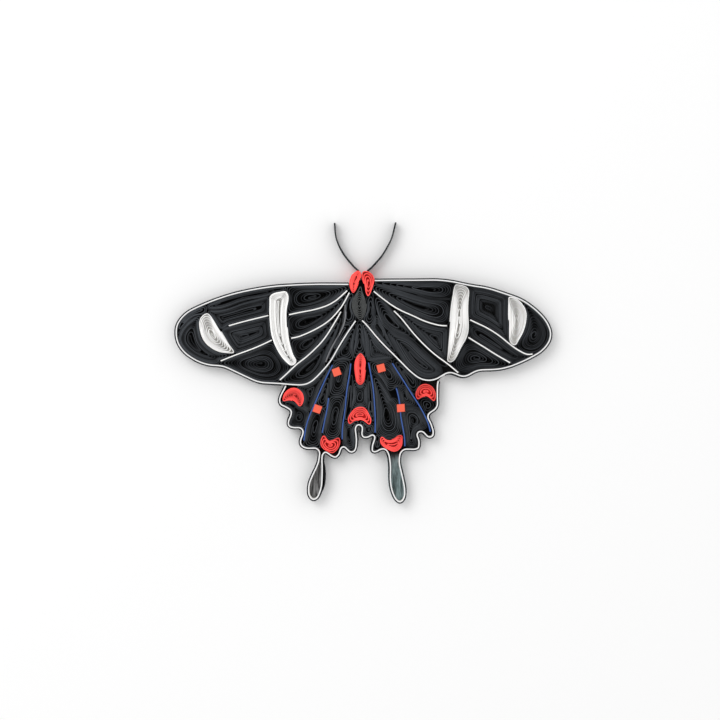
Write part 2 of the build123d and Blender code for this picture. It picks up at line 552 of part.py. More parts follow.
def arc_ends(line):
    """Picks the points of a close line where its arcs start, and the one half way along each arc."""
    picked = [0]
    while picked[-1] < len(line) - 1:
        start = picked[-1]
        half = 1
        while start + 2 * half + 2 < len(line):
            ahead = line[start : start + 2 * half + 3]
            bend = abs(np.angle((ahead[-1] - ahead[-2]) / (ahead[1] - ahead[0])))
            if bend > arc_bend or misfit(ahead) > arc_misfit:
                break
            half += 1
        picked += [min(start + half, len(line) - 2), min(start + 2 * half, len(line) - 1)]
    return picked


def arcs_through(points):
    """Joins points by arcs, two points on from one to the next, or by a line where they lie straight."""
    places = [Vector(point.real, point.imag) for point in points]
    edges = []
    for start, middle, end in zip(places[0::2], places[1::2], places[2::2]):
        if (middle - start).cross(end - start).length < straight_bow * (end - start).length:
            edges.append(Edge.make_line(start, end))
        else:
            edges.append(Edge.make_three_point_arc(start, middle, end))
    return edges


class Strip(BaseSketchObject):
    """A strip of paper on edge, seen from above: a line of close points, given the paper's thickness."""

    def __init__(self, line, thickness, mode=Mode.ADD):
        ends = arc_ends(line)
        left = arcs_through((line + leftward(line) * thickness / 2)[ends])
        right = arcs_through((line - leftward(line) * thickness / 2)[ends])
        caps = [Edge.make_line(left[0] @ 0, right[0] @ 0), Edge.make_line(left[-1] @ 1, right[-1] @ 1)]
        with BuildSketch() as strip:
            with BuildLine():
                add(left + right + caps)
            make_face()
        super().__init__(strip.sketch, mode=mode)


class Patch(BaseSketchObject):
    """The area inside a closed line of close points."""

    def __init__(self, line, mode=Mode.ADD):
        with BuildSketch() as patch:
            with BuildLine():
                Polyline(*[(point.real, point.imag) for point in line], close=True)
            make_face()
        super().__init__(patch.sketch, mode=mode)


class Roll(BaseSketchObject):
    """A roll of paper strip that fills a rim, seen from above."""

    def __init__(self, rim, mode=Mode.ADD):
        with BuildSketch() as roll:
            Strip(winding(rim), coil_paper)
        super().__init__(roll.sketch, mode=mode)


def cell_rim(cells, heart):
    """The outline of the one cell that holds a heart, with its tips rounded to what paper bends to."""
    cell = next(face for face in cells.faces() if face.is_inside(Vector(*heart)))
    corners = []
    for edge in cell.outer_wire().order_edges():
        count = max(1, round(edge.length / ring_step))
        places = edge.positions([k / count for k in range(count)])
        corners += [complex(place.X, place.Y) for place in places]
    loop = np.array(corners)
    loop = open_part(evened(loop if area(loop) > 0 else loop[::-1]), nook_width)
    rim = eased(moved_in(loop, -tip_radius), rim_spread)
    nearest = loop[abs(rim[:, None] - loop[None, :]).argmin(axis=1)]
    reach = abs(rim - nearest)
    return evened(nearest + (rim - nearest) * np.minimum(1, tip_radius / np.maximum(reach, tip_radius)))


def beside(line, distance):
    """A line that runs to the left of another at a distance, and bridges bends too tight to follow."""
    moved = line + distance * leftward(line)
    moved = moved[abs(moved[:, None] - line[None, :]).min(axis=1) > 0.97 * abs(distance)]
    return held_off(smoothed(moved, sample_step, edge_smoothings), line, abs(distance))


def own_rim(outline):
    """The middle line of the last turn of a roll with an outline of its own."""
    return set_in(evened(close_points(outline, closed=True)), coil_paper / 2)


def save(piece, name):
    piece.part.label = name
    export_step(piece.part, f"parts/{name}.step", write_pcurves=False)


def wing_cells(field, edges, veins, seams, rolls):
    """What a wing leaves for its rolls: its field less strips, seams and other rolls, with their gaps."""
    with BuildSketch() as cells:
        Patch(field)
        for line, thickness in edges + [(close_points(vein), thickness) for vein, thickness in veins]:
            reach = thickness / 2 + cell_reach
            Strip(line, 2 * reach, mode=Mode.SUBTRACT)
            with Locations((line[0].real, line[0].imag), (line[-1].real, line[-1].imag)):
                Circle(reach, mode=Mode.SUBTRACT)
        for seam in seams:
            Strip(close_points(seam), seam_width, mode=Mode.SUBTRACT)
        for outline in rolls:
            loop = close_points(outline, closed=True)
            Patch(loop - cell_reach * inward(loop), mode=Mode.SUBTRACT)
    return cells.sketch


left_forewing_edge = close_points(left_forewing_rim + left_forewing_root)
right_forewing_edge = close_points(right_forewing_rim + right_forewing_root)
hindwing_edge = close_points(hindwing_rim)
body = np.array([complex(*point) for point in body_line])
left_root_edge = close_points(left_forewing_rim[-1:] + left_forewing_root)
right_root_edge = close_points(right_forewing_rim[-1:] + right_forewing_root)
hindwing_field = np.concatenate((hindwing_edge, right_root_edge, left_root_edge[::-1]))

left_cells = wing_cells(
    np.append(left_forewing_edge, body),
    [(left_forewing_edge, white_edge_thickness)],
    [(vein, white_vein_thickness) for vein in left_white_veins]
    + [(leaning_strip, leaning_strip_thickness)],
    left_forewing_seams,
    [white_rolls["left_white_band"], white_rolls["left_white_crescent"], thorax_roll]
    + [red_rolls["left_head_roll"]],
)
right_cells = wing_cells(
    np.append(right_forewing_edge, body),
    [(right_forewing_edge, white_edge_thickness)],
    [(vein, white_vein_thickness) for vein in right_white_veins],
    right_forewing_seams,
    [white_rolls["right_white_band"], white_rolls["right_white_crescent"], thorax_roll]
    + [red_rolls["right_head_roll"]],
)
hindwing_cells = wing_cells(
    hindwing_field,
    [(edge, white_edge_thickness) for edge in (hindwing_edge, left_forewing_edge, right_forewing_edge)],
    [(vein, blue_vein_thickness) for vein in left_blue_veins + right_blue_veins]
    + [(thin_dark_vein, dark_vein_thickness)],
    hindwing_seams,
    list(red_rolls.values()),
)

# Black rolls of the forewings, one to a cell
for cells, hearts in ((left_cells, left_forewing_hearts), (right_cells, right_forewing_hearts)):
    for name, heart in hearts.items():
        with BuildPart() as black_roll:
            with BuildSketch(strips_base):
                Roll(cell_rim(cells, heart))
            extrude(amount=strip_height)
        save(black_roll, name)

# Black rolls of the hindwings and the abdomen
for name, hearts in hindwing_hearts.items():
    with BuildPart() as black_rolls:
        with BuildSketch(strips_base):
            for heart in hearts:
                Roll(cell_rim(hindwing_cells, heart))
        extrude(amount=strip_height)
    save(black_rolls, name)

# Rolls with an outline of their own
for name, outline in {**white_rolls, **red_rolls, "thorax_roll": thorax_roll}.items():
    with BuildPart() as shaped_roll:
        with BuildSketch(strips_base):
            Roll(own_rim(outline))
        extrude(amount=strip_height)
    save(shaped_roll, name)

# Edges of the wings: a white strip with a black one along its outside
edge_offset = (white_edge_thickness + black_edge_thickness) / 2 + glue_line
wing_edges = {
    "left_forewing": (left_forewing_edge, beside(close_points(left_forewing_rim[:-1]), -edge_offset)),
    "right_forewing": (right_forewing_edge, beside(close_points(right_forewing_rim), edge_offset)),
    "hindwing": (hindwing_edge, beside(hindwing_edge, -edge_offset)),
}
for name, (white_line, black_line) in wing_edges.items():
    with BuildPart() as white_edge:
        with BuildSketch(strips_base):
            Strip(white_line, white_edge_thickness)
        extrude(amount=strip_height)
    save(white_edge, f"{name}_white_edge")
    with BuildPart() as black_edge:
        with BuildSketch(strips_base):
            Strip(black_line, black_edge_thickness)
        extrude(amount=strip_height)
    save(black_edge, f"{name}_black_edge")

# Veins, the leaning strip and, past the ground and as low as its underside, the antennae
single_strips = {
    "left_white_veins": (left_white_veins, white_vein_thickness, strips_base),
    "right_white_veins": (right_white_veins, white_vein_thickness, strips_base),
    "left_blue_veins": (left_blue_veins, blue_vein_thickness, strips_base),
    "right_blue_veins": (right_blue_veins, blue_vein_thickness, strips_base),
    "thin_dark_vein": ([thin_dark_vein], dark_vein_thickness, strips_base),
    "leaning_strip": ([leaning_strip], leaning_strip_thickness, strips_base),
    "left_antenna": ([left_antenna], antenna_thickness, Plane.XY),
    "right_antenna": ([right_antenna], antenna_thickness, Plane.XY),
}
for name, (lines, thickness, base) in single_strips.items():
    with BuildPart() as strips:
        with BuildSketch(base):
            for line in lines:
                Strip(close_points(line), thickness)
        extrude(amount=strip_height)
    save(strips, name)

# Paper squares on top of the veins
with BuildPart() as red_squares:
    with BuildSketch(strips_base.offset(strip_height)):
        for middle, turn in squares:
            with Locations(Location(middle, turn)):
                Rectangle(square_side, square_side)
    extrude(amount=square_thickness)
save(red_squares, "red_squares")

# The ground under all of it: one sheet cut along the outer strips
with BuildSketch() as ground_parts:
    Patch(np.append(left_forewing_edge, body))
    Patch(np.append(right_forewing_edge, body))
    Patch(hindwing_field)
    for white_line, black_line in wing_edges.values():
        Strip(white_line, white_edge_thickness)
        Strip(black_line, black_edge_thickness + 2 * ground_lip)
    for outline in (red_rolls["left_head_roll"], red_rolls["right_head_roll"]):
        loop = close_points(outline, closed=True)
        Patch(loop - ground_lip * inward(loop))
with BuildPart() as ground_sheet:
    with BuildSketch():
        make_face(ground_parts.sketch.faces().sort_by(SortBy.AREA)[-1].outer_wire().edges())
    extrude(amount=ground_thickness)
save(ground_sheet, "ground_sheet")
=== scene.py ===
"""A quilled paper butterfly: paper strips rolled, pinched and stood on edge, on a cut paper ground."""

import math

import bmesh
import bpy
import numpy as np
from bpy.props import FloatProperty, FloatVectorProperty, PointerProperty
from bpy.types import Operator, Panel, PropertyGroup
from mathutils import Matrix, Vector, noise


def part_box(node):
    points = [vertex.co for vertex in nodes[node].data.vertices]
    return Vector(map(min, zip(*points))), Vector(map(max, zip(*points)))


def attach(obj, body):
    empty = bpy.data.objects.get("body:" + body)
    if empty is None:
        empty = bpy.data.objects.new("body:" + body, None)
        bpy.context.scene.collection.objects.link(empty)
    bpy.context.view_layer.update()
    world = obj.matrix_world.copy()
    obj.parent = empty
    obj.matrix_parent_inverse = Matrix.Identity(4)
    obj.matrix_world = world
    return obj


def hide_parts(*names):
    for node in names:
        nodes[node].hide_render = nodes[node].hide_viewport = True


bl_info = {
    "name": "Quilled Paper Butterfly",
    "version": (1, 0, 0),
    "blender": (4, 5, 0),
    "location": "View3D > Sidebar > Butterfly",
    "description": "Builds a butterfly of rolled paper strips around its frame",
    "category": "Add Mesh",
}

MM = 0.001
X, Y = 0, 1

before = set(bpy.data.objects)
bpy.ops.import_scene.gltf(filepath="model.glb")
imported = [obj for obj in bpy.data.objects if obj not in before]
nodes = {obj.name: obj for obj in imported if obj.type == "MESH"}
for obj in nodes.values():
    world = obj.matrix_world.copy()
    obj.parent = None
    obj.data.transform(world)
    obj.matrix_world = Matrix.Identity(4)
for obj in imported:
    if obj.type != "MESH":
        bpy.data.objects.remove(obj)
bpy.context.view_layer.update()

STRIP_FOOT, STRIP_TOP = (corner[2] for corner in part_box("left_second_roll"))

WELD = 0.0005 * MM
CREASE = math.radians(40)
LEAST_OUTWARD = 0.01
UPPER_HALF = 0.5

# The patches in which strips sway and rise together, and the seed of each noise
SWAY_PATCH = 7 * MM
SWAY_SEEDS = (1.7, 9.3)
LIFT_PATCHES = ((1.1 * MM, 4.1), (5 * MM, 6.6))
TURN_PATCH = 30 * MM
TURN_SEED = 2.3

# The cut end of a strip, where the turns of its roll are counted from
FACES_UP = 0.9
SHARP_END = 2.6
END_WIDTH = 0.2 * MM
HEART_REACH = 0.04 * MM

# The thin sheet between the turns of a pale roll
BACKING_INSET = 0.1 * MM
BACKING_THICKNESS = 0.05 * MM
BACKING_ROWS = 48
RED_BACKING_HEIGHT = 1.5 * MM
WHITE_BACKING_HEIGHT = 1.4 * MM

# Strips that lean: how far they do at the top, and where along them
GREY_LEAN = Vector((0.8, 0.1, 0.1)) * MM
GREY_LEAN_Y, GREY_LEAN_REACH = 9.6 * MM, 6 * MM
TAIL_LEAN = Vector((0.5, 0, 0)) * MM
TAIL_LEAN_X, TAIL_LEAN_WIDTH = -10.1 * MM, 1.0 * MM
TAIL_LEAN_Y, TAIL_LEAN_REACH = -27 * MM, 5 * MM

# Paper in the shaders: how far up a cut edge faces, and sizes as shares of the fibre's
EDGE_FACING = (0.55, 0.9)
# Painted shade: the share of a side's colour that is left at a strip's foot, darker towards the foot.
FOOT_SHADE = 0.5
FLECK_SHARE = 0.35
FLECK_STRENGTH = 0.5
LAID_SHARE = 0.6
STRIP_CLOUD = 6 * MM
SQUARE_CLOUD = 2.5 * MM
STREAK_WIDTH = 0.5 * MM
STREAK_BAND = (-0.2, 0.22)
DULLEST_STREAK, STREAK_SPAN = 0.25, 1.5
TAILS_BEGIN, TAILS_FULL = 21.5 * MM, 23.5 * MM
MIDLINE_BLEND = 1 * MM

SQUARE_ROUNDING = 0.06 * MM
ROUNDING_STEPS = 3
FLOOR_HALF = 0.9
FLOOR_LEVEL = -0.02 * MM
CAMERA_OVER = (-0.96 * MM, 0.72 * MM)


def colour_prop(name, description, default):
    return FloatVectorProperty(
        name=name, description=description, default=default, subtype="COLOR", size=3, min=0, max=1
    )


def length_prop(name, description, default_mm):
    return FloatProperty(
        name=name,
        description=description,
        default=default_mm * MM,
        subtype="DISTANCE",
        unit="LENGTH",
        min=0,
    )


class QuillingPaper(PropertyGroup):
    """Colours of the papers and how unevenly the strips are set."""

    # Painted light: each paper's side colour is darker than its cut edge, as painted shade on the sides, so
    # the cut edge on top stands lighter as painted light.
    black_edge: colour_prop("Black paper, cut edge", "Cut edge of the black strips", (0.026, 0.0285, 0.032))
    black_side_shaded: colour_prop("Black paper, side", "Side of the black strips", (0.008, 0.0085, 0.009))
    white_edge: colour_prop("White paper, cut edge", "Cut edge of the white strips", (0.97, 0.965, 0.95))
    white_side_shaded: colour_prop("White paper, side", "Side of the white strips", (0.93, 0.915, 0.88))
    border_edge: colour_prop(
        "Wing border, cut edge", "Cut edge of the strip around the wings", (0.9, 0.9, 0.9)
    )
    red_edge: colour_prop("Red paper, cut edge", "Cut edge of the red strips", (1.0, 0.085, 0.075))
    red_side_shaded: colour_prop("Red paper, side", "Side of the red strips", (0.95, 0.06, 0.055))
    square_face: colour_prop("Paper squares", "Face of the small flat squares", (0.92, 0.14, 0.08))
    blue_edge: colour_prop("Blue paper, cut edge", "Cut edge of the blue strips", (0.06, 0.125, 0.38))
    blue_side_shaded: colour_prop("Blue paper, side", "Side of the blue strips", (0.02, 0.05, 0.24))
    grey_edge: colour_prop("Grey paper, cut edge", "Cut edge of the leaning strip", (0.2, 0.2, 0.21))
    grey_side_shaded: colour_prop("Grey paper, side", "Side of the leaning strip", (0.17, 0.17, 0.175))
    # The thorax roll's grey cut edge over black sides is partly the paper's dark grey and partly painted
    # sheen.
    body_edge_and_sheen: colour_prop("Body roll, cut edge", "Cut edge of the roll of the thorax", (0.11, 0.115, 0.115))
    # Painted shade: the ground under the strips is near black, dark paper made darker still to stand for the
    # shade in the deep gaps.
    ground_with_shade: colour_prop("Ground", "Paper under the strips", (0.015, 0.015, 0.016))
    left_tail: colour_prop("Left tail", "Ground in the left tail", (0.24, 0.24, 0.245))
    right_tail: colour_prop("Right tail", "Ground in the right tail", (0.22, 0.29, 0.3))
    sway: length_prop("Sway", "How far the strips lean aside at the top", 0.1)
    lift: length_prop("Lift", "How far whole patches of strips stand higher or lower", 0.05)
    red_swell: length_prop("Red swell", "How far the red paper swells at its cut edge", 0.045)
    white_swell: length_prop("White swell", "How far the white paper swells at its cut edge", 0.02)
    turn_lift: length_prop("Turn lift", "How far single turns of a roll stand higher or lower", 0.25)
    turn_pace: FloatProperty(name="Turn pace", description="Changes of height per turn", default=0.8)
    fibre: length_prop("Fibre", "Size of the fibres in the paper", 0.35)


class PaperStage(PropertyGroup):
    """The floor, the lamp, the even light and the camera."""

    floor: colour_prop("Floor", "Colour of the floor", (0.98, 0.98, 0.98))
    key: FloatProperty(name="Key lamp", description="Power of the soft lamp in watts", default=1.6, min=0)
    key_width: length_prop("Key width", "How wide the soft lamp is", 500)
    key_place: FloatVectorProperty(
        name="Key place",
        description="Where the soft lamp hangs",
        default=(-0.34, 0.36, 0.62),
        subtype="TRANSLATION",
        unit="LENGTH",
    )
    sky: FloatProperty(name="Sky", description="Strength of the even light", default=0.84, min=0)
    field: length_prop("Field", "Width that the camera takes in at the strips' tops", 172.8)
    lens: FloatProperty(name="Lens", description="Focal length in millimetres", default=100.0, min=10)


class Wire:
    """An output socket in a shader, with maths written as Python expressions."""

    def __init__(self, shader, socket):
        self.shader = shader
        self.socket = socket

    def __add__(self, other):
        return self.shader.maths("ADD", self, other)

    def __sub__(self, other):
        return self.shader.maths("SUBTRACT", self, other)

    def __rsub__(self, other):
        return self.shader.maths("SUBTRACT", other, self)

    def __mul__(self, other):
        return self.shader.maths("MULTIPLY", self, other)

    __radd__ = __add__
    __rmul__ = __mul__


class Shader:
    """One material's nodes, around its Principled shader."""

    def __init__(self, name):
        self.material = bpy.data.materials.new(name)
        self.material.use_nodes = True
        self.tree = self.material.node_tree
        self.surface = self.tree.nodes["Principled BSDF"]

    def node(self, kind, settings=None, output=0, **inputs):
        """Adds a node: its settings first, then the values or links of its sockets.

        A socket is named with underscores for spaces, or by i and its number.
        An output is given by its name or number."""
        made = self.tree.nodes.new(kind)
        for key, value in (settings or {}).items():
            setattr(made, key, value)
        for key, value in inputs.items():
            place = int(key[1:]) if key[1:].isdigit() else key.replace("_", " ")
            self.feed(made.inputs[place], value)
        return Wire(self, made.outputs[output])

    def feed(self, socket, value):
        if isinstance(value, Wire):
            self.tree.links.new(value.socket, socket)
        elif socket.type == "RGBA" and len(value) == 3:
            socket.default_value = (*value, 1)
        else:
            socket.default_value = value

    def maths(self, operation, a, b):
        return self.node("ShaderNodeMath", {"operation": operation}, i0=a, i1=b)

    def place(self):
        """The place on the piece, in metres."""
        return self.node("ShaderNodeTexCoord", output="Object")

    def part(self, vector, axis):
        """One of a vector's numbers, by its axis."""
        return self.node("ShaderNodeSeparateXYZ", output=axis, Vector=vector)

    def ramp(self, value, low, high):
        """0 below low, 1 above high and smooth between them."""
        smooth = {"interpolation_type": "SMOOTHSTEP"}
        return self.node("ShaderNodeMapRange", smooth, Value=value, From_Min=low, From_Max=high)

    def blend(self, factor, a, b, way="MIX"):
        """Mixes two colours. The sockets 0, 6 and 7 and the output 2 are a Mix node's for colours."""
        settings = {"data_type": "RGBA", "blend_type": way}
        return self.node("ShaderNodeMix", settings, output=2, i0=factor, i6=a, i7=b)

    def shaded(self, colour, shade):
        """A colour times a number."""
        tone = self.node("ShaderNodeCombineColor", Red=shade, Green=shade, Blue=shade)
        return self.blend(1.0, colour, tone, way="MULTIPLY")

    def speckle(self, size, detail=3.0, roughness=0.6, stretch=None):
        """Fine noise around 0, of a size in metres, stretched where a direction is given."""
        place = self.place()
        if stretch:
            place = self.node("ShaderNodeVectorMath", {"operation": "MULTIPLY"}, i0=place, i1=stretch)
        grains = self.node(
            "ShaderNodeTexNoise", Vector=place, Scale=1 / size, Detail=detail, Roughness=roughness
        )
        return grains - 0.5

    def relief(self, height, strength, depth):
        """A bumped normal, for a height from 0 to 1 that stands for a depth in metres."""
        return self.node("ShaderNodeBump", Strength=strength, Distance=depth, Height=height)

    def set(self, **inputs):
        """Feeds the surface's sockets, and gives the finished material."""
        for key, value in inputs.items():
            self.feed(self.surface.inputs[key.replace("_", " ")], value)
        return self.material


def paper_material(name, edge, side, deep=0.55, mottle_and_sheen=0.25, grain=0.3, shine=0.25, turn_sheen=0.0):
    """Strip paper: a fibrous cut edge on top, painted lighter, and plainer sides in a darker colour as
    painted shade, that darken towards the foot as painted shade in the gaps.

    deep is how much of the side's colour is left at the foot under that painted shade. mottle, grain and
    shine are how far patches and fibres change its colour and fibres its roughness; on the black rolls the
    patches are painted sheen, on the others the paper's own uneven tone. banding paints the turns of a roll
    lighter and darker by their turn_height_and_sheen, as painted highlight on turns that stand higher and
    painted shade on those that stand lower."""
    fibre = bpy.context.scene.quilling_paper.fibre
    s = Shader(name)
    facing = s.part(s.node("ShaderNodeNewGeometry", output="True Normal"), "Z")
    on_top = s.ramp(facing, *EDGE_FACING)
    risen = s.ramp(s.part(s.place(), "Z"), STRIP_FOOT, STRIP_TOP)
    fibres = s.speckle(fibre, detail=5.0, roughness=0.7)
    flecks = s.speckle(fibre * FLECK_SHARE, detail=2.0)
    cloud = s.speckle(STRIP_CLOUD, detail=2.0)
    laid = s.speckle(fibre * LAID_SHARE, stretch=(1.0, 1.0, 0.25))
    # Painted shade: the sides darken towards the strip's foot, where the gaps between the strips lie.
    sides = s.blend(risen * (1 - deep) + deep, tuple(c * FOOT_SHADE for c in side), side)
    # Painted light: each turn's tone, the same noise that lifts it, lightens raised turns as painted
    # highlight and darkens sunk ones as painted shade.
    turn = s.node("ShaderNodeAttribute", {"attribute_name": "turn_height_and_sheen"}, output="Fac")
    # The cloud patches, scaled by mottle, are painted sheen on the black rolls and the paper's own uneven
    # tone on the others.
    spots_and_sheen = fibres * grain + flecks * grain * FLECK_STRENGTH + cloud * mottle_and_sheen
    # Painted light: faces that look up take the lighter cut-edge colour, and the others take the darker side
    # colour with its painted shade.
    colour = s.shaded(s.blend(on_top, sides, edge), spots_and_sheen + turn * on_top * turn_sheen + 1.0)
    relief = s.relief(fibres * on_top + laid * (1 - on_top), strength=0.35, depth=0.03 * MM)
    s.set(Base_Color=colour, Roughness=0.92 - (fibres + 0.1) * shine, Normal=relief)
    return s.set(Specular_IOR_Level=0.2)


def square_material():
    """The smooth paper of the squares, that lie flat."""
    paper = bpy.context.scene.quilling_paper
    s = Shader("square_paper")
    fibres = s.speckle(paper.fibre, detail=6.0, roughness=0.7)
    cloud = s.speckle(SQUARE_CLOUD, detail=2.0)
    colour = s.shaded(tuple(paper.square_face), fibres * 0.18 + cloud * 0.12 + 1.0)
    relief = s.relief(fibres, strength=0.4, depth=0.02 * MM)
    s.set(Base_Color=colour, Roughness=0.85 - fibres * 0.2, Normal=relief)
    return s.set(Specular_IOR_Level=0.25)


def ground_material():
    """Ground paper, near black under the strips as dark paper with painted shade in the deep gaps, rubbed to
    streaky greys in the open tails.
    """
    paper = bpy.context.scene.quilling_paper
    s = Shader("ground_paper")
    place = s.place()
    in_tails = s.ramp(s.part(place, "Y") * -1, TAILS_BEGIN, TAILS_FULL)
    on_right = s.ramp(s.part(place, "X"), -MIDLINE_BLEND, MIDLINE_BLEND)
    streaks = s.speckle(STREAK_WIDTH, stretch=(1.0, 0.12, 1.0))
    fibres = s.speckle(paper.fibre, detail=6.0, roughness=0.7)
    tails = s.blend(on_right, tuple(paper.left_tail), tuple(paper.right_tail))
    rubbed = s.shaded(tails, s.ramp(streaks, *STREAK_BAND) * STREAK_SPAN + DULLEST_STREAK)
    # Outside the tails the ground takes its near-black colour, which is painted shade in the gaps.
    colour = s.blend(in_tails, tuple(paper.ground_with_shade), rubbed)
    relief = s.relief(fibres, strength=0.4, depth=0.02 * MM)
    s.set(Base_Color=colour, Roughness=0.9 - fibres * 0.2, Normal=relief)
    return s.set(Specular_IOR_Level=0.2)


def drift(x, y, patch, seed):
    """Slow noise over the butterfly, the same for every strip, so that neighbours lean together."""
    return noise.noise(Vector((x / patch, y / patch, seed)))


def turned(before, after):
    """The signed angle from one flat direction to another."""
    return math.atan2(before.x * after.y - before.y * after.x, before.dot(after))


def top_loops(strips):
    """The corners around the top of each strip, in order."""
    beside = {}
    for edge in strips.edges:
        if [face.normal.z > FACES_UP for face in edge.link_faces].count(True) == 1:
            a, b = edge.verts
            beside.setdefault(a, []).append(b)
            beside.setdefault(b, []).append(a)
    loops = []
    while beside:
        loop = [next(iter(beside))]
        while loop[-1] in beside:
            onward = [v for v in beside.pop(loop[-1]) if v in beside]
            loop += onward[:1]
        loops.append(loop)
    return loops


def turn_counts(loop):
    """How many times a strip has gone round its roll's heart, at each corner of its top.

    The strip's two cut ends are short edges between two sharp corners. The inner one lies at the
    heart, and the strip goes round it most often. A thick strip has no such end, and counts 0."""
    flat = [v.co.xy for v in loop]
    count = len(flat)
    way = [flat[(k + 1) % count] - flat[k] for k in range(count)]
    fullest = [0.0] * count
    for k in range(count):
        corners = turned(way[k - 1], way[k]) + turned(way[k], way[(k + 1) % count])
        if abs(corners) < SHARP_END or way[k].length > END_WIDTH:
            continue
        heart = flat[k] + way[k] / 2 + way[k - 1].normalized() * HEART_REACH
        steps = [turned(a - heart, b - heart) for a, b in zip(flat, flat[1:])]
        counted = list(np.cumsum([0.0] + steps) / (2 * math.pi))
        if max(counted) - min(counted) > max(fullest) - min(fullest):
            fullest = counted
    return fullest


def stood_paper(name, material, lean=None, swell=0.0):
    """A strip or roll as paper: the CAD node's form, swaying, leaning and uneven in height."""
    paper = bpy.context.scene.quilling_paper
    mesh = nodes[name].data.copy()
    mesh.name = f"{name}_paper"
    strips = bmesh.new()
    strips.from_mesh(mesh)
    bmesh.ops.remove_doubles(strips, verts=strips.verts, dist=WELD)
    strips.normal_update()
    # One noise per turn of a roll sets its height and, in the shader, its painted highlight or shade.
    tone = strips.verts.layers.float.new("turn_height_and_sheen")
    turns = {v: turn for loop in top_loops(strips) for v, turn in zip(loop, turn_counts(loop))}
    foot = min(v.co.z for v in strips.verts)
    top = max(v.co.z for v in strips.verts)
    for v in strips.verts:
        x, y, z = v.co
        risen = (z - foot) / (top - foot)
        outward = Vector((v.normal.x, v.normal.y, 0))
        if outward.length > LEAST_OUTWARD:
            v.co += outward.normalized() * swell * risen
        v.co.x += paper.sway * risen * drift(x, y, SWAY_PATCH, SWAY_SEEDS[X])
        v.co.y += paper.sway * risen * drift(x, y, SWAY_PATCH, SWAY_SEEDS[Y])
        if v in turns:
            v[tone] = noise.noise(Vector((turns[v] * paper.turn_pace, x / TURN_PATCH, TURN_SEED)))
            v.co.z += paper.turn_lift * v[tone]
        if risen > UPPER_HALF:
            v.co.z += paper.lift * sum(drift(x, y, patch, seed) for patch, seed in LIFT_PATCHES)
        if lean:
            v.co += lean(x, y) * risen
    strips.to_mesh(mesh)
    strips.free()
    mesh.shade_smooth()
    mesh.set_sharp_from_angle(angle=CREASE)
    mesh.materials.clear()
    mesh.materials.append(material)
    piece = bpy.data.objects.new(f"{name}_paper", mesh)
    bpy.context.scene.collection.objects.link(piece)
    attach(piece, "root")
    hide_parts(name)
    return piece


def backing(name, along, height, material):
    """A thin sheet of a roll's own paper between its turns, that keeps the gaps from going dark.

    Lines across the roll, one after another along an axis, find how far the roll reaches on
    both sides."""
    mesh = nodes[name].data
    across = Y if along == X else X
    places = np.empty(len(mesh.vertices) * 3)
    mesh.vertices.foreach_get("co", places)
    pairs = np.empty(len(mesh.edges) * 2, dtype=int)
    mesh.edges.foreach_get("vertices", pairs)
    starts, ends = places.reshape(-1, 3)[pairs.reshape(-1, 2)].transpose(1, 0, 2)
    low, high = starts[:, along].min(), starts[:, along].max()
    corners = []
    for at in np.linspace(low + BACKING_INSET, high - BACKING_INSET, BACKING_ROWS):
        crossed = (starts[:, along] - at) * (ends[:, along] - at) < 0
        a, b = starts[crossed], ends[crossed]
        reached = a[:, across] + (b - a)[:, across] * (at - a[:, along]) / (b - a)[:, along]
        for side in (reached.min() + BACKING_INSET, reached.max() - BACKING_INSET):
            corner = [0, 0, STRIP_FOOT + height]
            corner[along], corner[across] = at, side
            corners.append(corner)
    faces = [(k, k + 1, k + 3, k + 2) for k in range(0, len(corners) - 2, 2)]
    if along == X:
        faces = [face[::-1] for face in faces]
    sheet = bpy.data.meshes.new(f"{name}_backing")
    sheet.from_pydata(corners, [], faces)
    sheet.materials.append(material)
    piece = bpy.data.objects.new(f"{name}_backing", sheet)
    bpy.context.scene.collection.objects.link(piece)
    body = piece.modifiers.new("thickness", "SOLIDIFY")
    body.thickness = BACKING_THICKNESS
    body.offset = -1
    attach(piece, "root")


def hump(value, middle, reach):
    """1 at the middle, falling smoothly to 0 at a reach on both sides of it."""
    away = min(1.0, abs(value - middle) / reach)
    return (1 + math.cos(math.pi * away)) / 2


def grey_lean(x, y):
    """The grey strip leans most halfway along."""
    return GREY_LEAN * hump(y, GREY_LEAN_Y, GREY_LEAN_REACH)


def tail_lean(x, y):
    """The black strip leans out along the right side of the left tail."""
    beside = hump(x, TAIL_LEAN_X, TAIL_LEAN_WIDTH) * hump(y, TAIL_LEAN_Y, TAIL_LEAN_REACH)
    return TAIL_LEAN * min(1.0, 2 * beside)


def named(*words, without=()):
    """The frame's nodes whose names hold one of some words."""
    return [n for n in sorted(nodes) if any(w in n for w in words) and not any(w in n for w in without)]


BLACK_ROLLS = named("_roll", without=("white", "red", "thorax_roll", "head_roll"))
WHITE_ROLLS = named("white_band", "white_crescent")
RED_ROLLS = named("red_crescent", "red_oval", "head_roll")
WHITE_VEINS = named("white_veins")
BLUE_VEINS = named("blue_veins")
WHITE_EDGES = named("white_edge")
BLACK_STRIPS = named("black_edge", "antenna", "thin_dark_vein")


class BUTTERFLY_OT_ground(Operator):
    """Give the cut ground its paper"""

    bl_idname = "butterfly.ground"
    bl_label = "Ground"

    def execute(self, context):
        ground = nodes["ground_sheet"]
        ground.data.materials.clear()
        ground.data.materials.append(ground_material())
        return {"FINISHED"}


